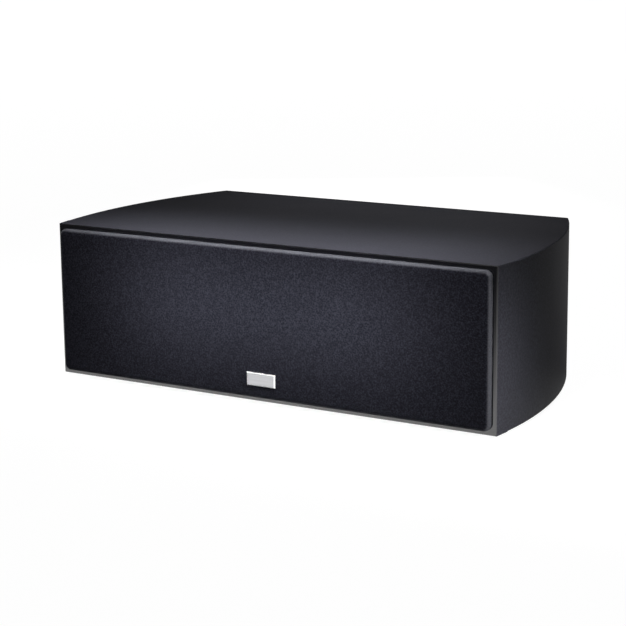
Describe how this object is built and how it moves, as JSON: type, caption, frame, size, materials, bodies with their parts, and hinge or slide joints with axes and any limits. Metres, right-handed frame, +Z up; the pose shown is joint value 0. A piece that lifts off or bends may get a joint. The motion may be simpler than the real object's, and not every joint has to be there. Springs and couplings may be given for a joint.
{
  "type": "center channel speaker",
  "caption": "Low wide center channel speaker with bowed sides, a push-fit cloth grille over woofers and a dome tweeter, and a rear port with binding posts.",
  "frame": {"origin": "bottom centre of the whole speaker, on the surface that the feet stand on", "axes": "+X to the right seen from the front, -Y out of the grille, +Z up"},
  "size_m": [0.462, 0.2488, 0.148],
  "materials": {
    "foil": "satin black foil on MDF",
    "baffle": "matt black painted MDF",
    "cloth": "black acoustic cloth",
    "frame_plastic": "moulded black plastic",
    "badge": "brushed silver plate with bright bevels",
    "rubber": "soft black rubber",
    "basket": "black painted pressed steel",
    "cone_paper": "black coated paper",
    "spider_cloth": "resin treated cloth",
    "dome_silk": "coated silk",
    "ferrite": "grey ferrite",
    "steel": "zinc plated steel",
    "copper": "enamelled copper wire",
    "gold": "gold plated brass",
    "red_plastic": "red moulded plastic",
    "black_plastic": "black moulded plastic",
    "board": "bare paper laminate",
    "film_case": "moulded film capacitor case",
    "ceramic": "white ceramic"
  },
  "bodies": {
    "cabinet": {"front_baffle": "baffle", "top_panel": "foil", "bottom_panel": "foil", "left_side_panel": "foil", "right_side_panel": "foil", "rear_panel": "foil", "rubber_feet": "rubber", "woofer_baskets": "basket", "woofer_surrounds": "rubber", "woofer_spiders": "spider_cloth", "woofer_top_plates": "steel", "woofer_magnets": "ferrite", "woofer_yokes": "steel", "tweeter_faceplate": "frame_plastic", "tweeter_dome": "dome_silk", "tweeter_motor": "ferrite", "grille_cups": "frame_plastic", "terminal_cup": "frame_plastic", "red_post": "gold", "black_post": "gold", "post_nuts": "steel", "port_tube": "frame_plastic", "crossover_board": "board", "board_spacers": "frame_plastic", "woofer_choke": "copper", "tweeter_choke": "copper", "capacitors": "film_case", "resistor": "ceramic"},
    "grille": {"grille_end_bars": "frame_plastic", "grille_rails": "frame_plastic", "grille_ribs": "frame_plastic", "grille_cloth": "cloth", "badge_plate": "badge"},
    "left_cone": {"left_woofer_cone": "cone_paper", "left_dust_cap": "cone_paper", "left_voice_coil": "copper"},
    "right_cone": {"right_woofer_cone": "cone_paper", "right_dust_cap": "cone_paper", "right_voice_coil": "copper"},
    "red_washer": {"red_washer": "gold"},
    "red_knob": {"red_knob": "red_plastic"},
    "black_washer": {"black_washer": "gold"},
    "black_knob": {"black_knob": "black_plastic"}
  },
  "joints": [
    {"name": "grille_pull", "type": "slide", "parent": "cabinet", "child": "grille", "axis": [0, -1, 0], "range_m": [0, 0.06]},
    {"name": "left_cone_stroke", "type": "slide", "parent": "cabinet", "child": "left_cone", "axis": [0, -1, 0], "range_m": [-0.003, 0.003], "stiffness_N_per_m": 1100, "deforming": ["woofer_surrounds", "woofer_spiders"]},
    {"name": "right_cone_stroke", "type": "slide", "parent": "cabinet", "child": "right_cone", "axis": [0, -1, 0], "range_m": [-0.003, 0.003], "stiffness_N_per_m": 1100, "deforming": ["woofer_surrounds", "woofer_spiders"]},
    {"name": "red_washer_travel", "type": "slide", "parent": "cabinet", "child": "red_washer", "axis": [0, 1, 0], "range_m": [0, 0.0042]},
    {"name": "red_knob_turn", "type": "hinge", "parent": "red_washer", "child": "red_knob", "pos_m": [0.071, 0.11, 0.0755], "axis": [0, 1, 0], "range_deg": [0, 2161]},
    {"name": "black_washer_travel", "type": "slide", "parent": "cabinet", "child": "black_washer", "axis": [0, 1, 0], "range_m": [0, 0.0042]},
    {"name": "black_knob_turn", "type": "hinge", "parent": "black_washer", "child": "black_knob", "pos_m": [0.045, 0.11, 0.0755], "axis": [0, 1, 0], "range_deg": [0, 2161]}
  ],
  "couplings": [
    {"joint": "red_knob_turn", "follows": "red_washer_travel", "rad_per_m": 8976},
    {"joint": "black_knob_turn", "follows": "black_washer_travel", "rad_per_m": 8976}
  ]
}
